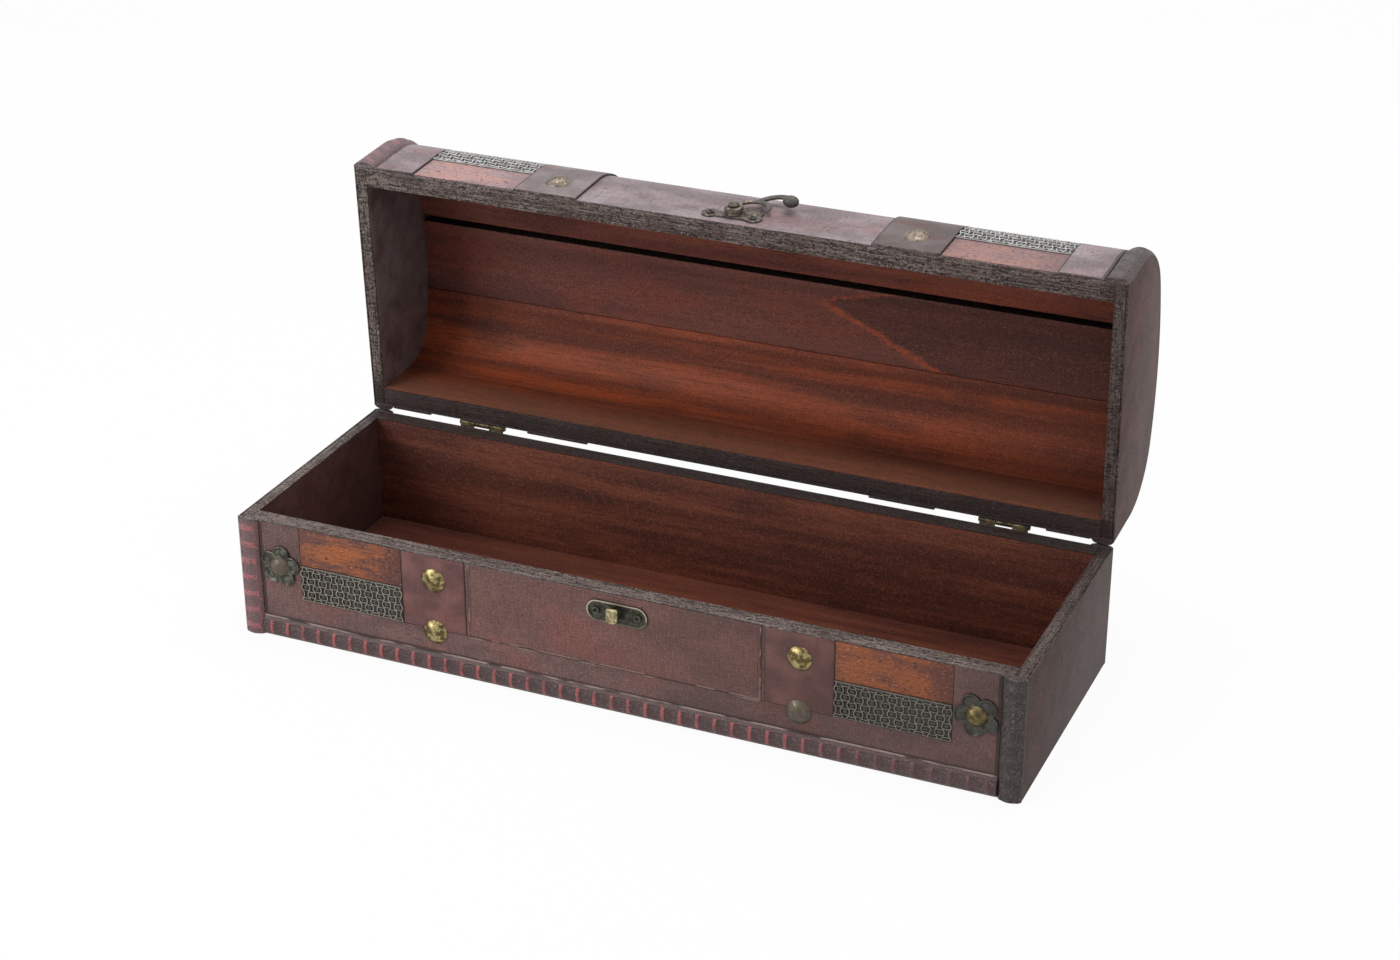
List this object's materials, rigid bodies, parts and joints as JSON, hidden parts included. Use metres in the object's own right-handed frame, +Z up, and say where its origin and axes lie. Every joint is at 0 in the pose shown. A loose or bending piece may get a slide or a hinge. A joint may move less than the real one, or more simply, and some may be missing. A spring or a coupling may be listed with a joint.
{
  "type": "wine_box",
  "caption": "Long box with a domed lid on two butt hinges, shown open, covered in leatherette with straps, tacks, woven metal panels and a swing hook clasp; it holds one bottle lying down.",
  "frame": {"origin": "middle of the underside of the base", "axes": "X runs along the box to its right end, Y runs to the hinges, Z is up"},
  "size_m": [0.36, 0.1845, 0.1886],
  "materials": {
    "board_wood": "stained satin boards",
    "leatherette": "mottled grained leatherette, worn satin",
    "end_leatherette": "plain grey-brown leatherette",
    "trim_leatherette": "rounded mottled strips",
    "strap_leatherette": "dark grained straps",
    "orange_panel": "brushed orange-brown",
    "woven_metal": "antiqued woven strands",
    "antique_brass": "hammered antique brass",
    "antique_bronze": "dark antique bronze with worn edges",
    "hinge_brass": "dull brass plate"
  },
  "bodies": {
    "base": {"floor_board": "board_wood", "front_board": "board_wood", "back_board": "board_wood", "left_end_board": "board_wood", "right_end_board": "board_wood", "front_covering": "leatherette", "back_covering": "leatherette", "left_end_covering": "end_leatherette", "right_end_covering": "end_leatherette", "front_left_corner_strip": "trim_leatherette", "front_right_corner_strip": "trim_leatherette", "back_left_corner_strip": "trim_leatherette", "back_right_corner_strip": "trim_leatherette", "bottom_strip": "trim_leatherette", "front_frame": "leatherette", "left_strap": "strap_leatherette", "right_strap": "strap_leatherette", "left_panel": "orange_panel", "right_panel": "orange_panel", "left_woven_panel": "woven_metal", "right_woven_panel": "woven_metal", "centre_panel": "leatherette", "strap_tacks": "antique_brass", "left_rosette": "antique_bronze", "right_rosette": "antique_bronze", "rosette_nails": "antique_brass", "catch_plate": "antique_bronze", "catch_knob": "antique_brass", "catch_pins": "antique_bronze", "left_hinge_leaf": "hinge_brass", "right_hinge_leaf": "hinge_brass", "hinge_screws": "hinge_brass", "hinge_pins": "hinge_brass"},
    "lid": {"lid_front_rail": "board_wood", "lid_back_rail": "board_wood", "lid_left_end_board": "board_wood", "lid_right_end_board": "board_wood", "lid_front_stave": "board_wood", "lid_top_stave": "board_wood", "lid_back_stave": "board_wood", "lid_covering": "leatherette", "lid_left_end_covering": "end_leatherette", "lid_right_end_covering": "end_leatherette", "lid_left_band": "trim_leatherette", "lid_right_band": "trim_leatherette", "lid_left_strap": "strap_leatherette", "lid_right_strap": "strap_leatherette", "lid_end_straps": "leatherette", "lid_left_panel": "orange_panel", "lid_right_panel": "orange_panel", "lid_left_woven_panel": "woven_metal", "lid_right_woven_panel": "woven_metal", "lid_tacks": "antique_brass", "lid_left_hinge_leaf": "hinge_brass", "lid_right_hinge_leaf": "hinge_brass", "lid_hinge_screws": "hinge_brass", "clasp_plate": "antique_bronze", "clasp_pins": "antique_bronze", "clasp_rivet": "antique_bronze"},
    "hook": {"hook_arm": "antique_bronze"}
  },
  "joints": [
    {"name": "lid_hinge", "type": "hinge", "parent": "base", "child": "lid", "pos_m": [0, 0.0617, 0.05804], "axis": [1, 0, 0], "range_deg": [0, 87.3]},
    {"name": "hook_swing", "type": "hinge", "parent": "lid", "child": "hook", "pos_m": [0.0022, 0.06458, 0.18291], "axis": [0, -0.0471, 0.9989], "range_deg": [-124.2, 100]}
  ]
}
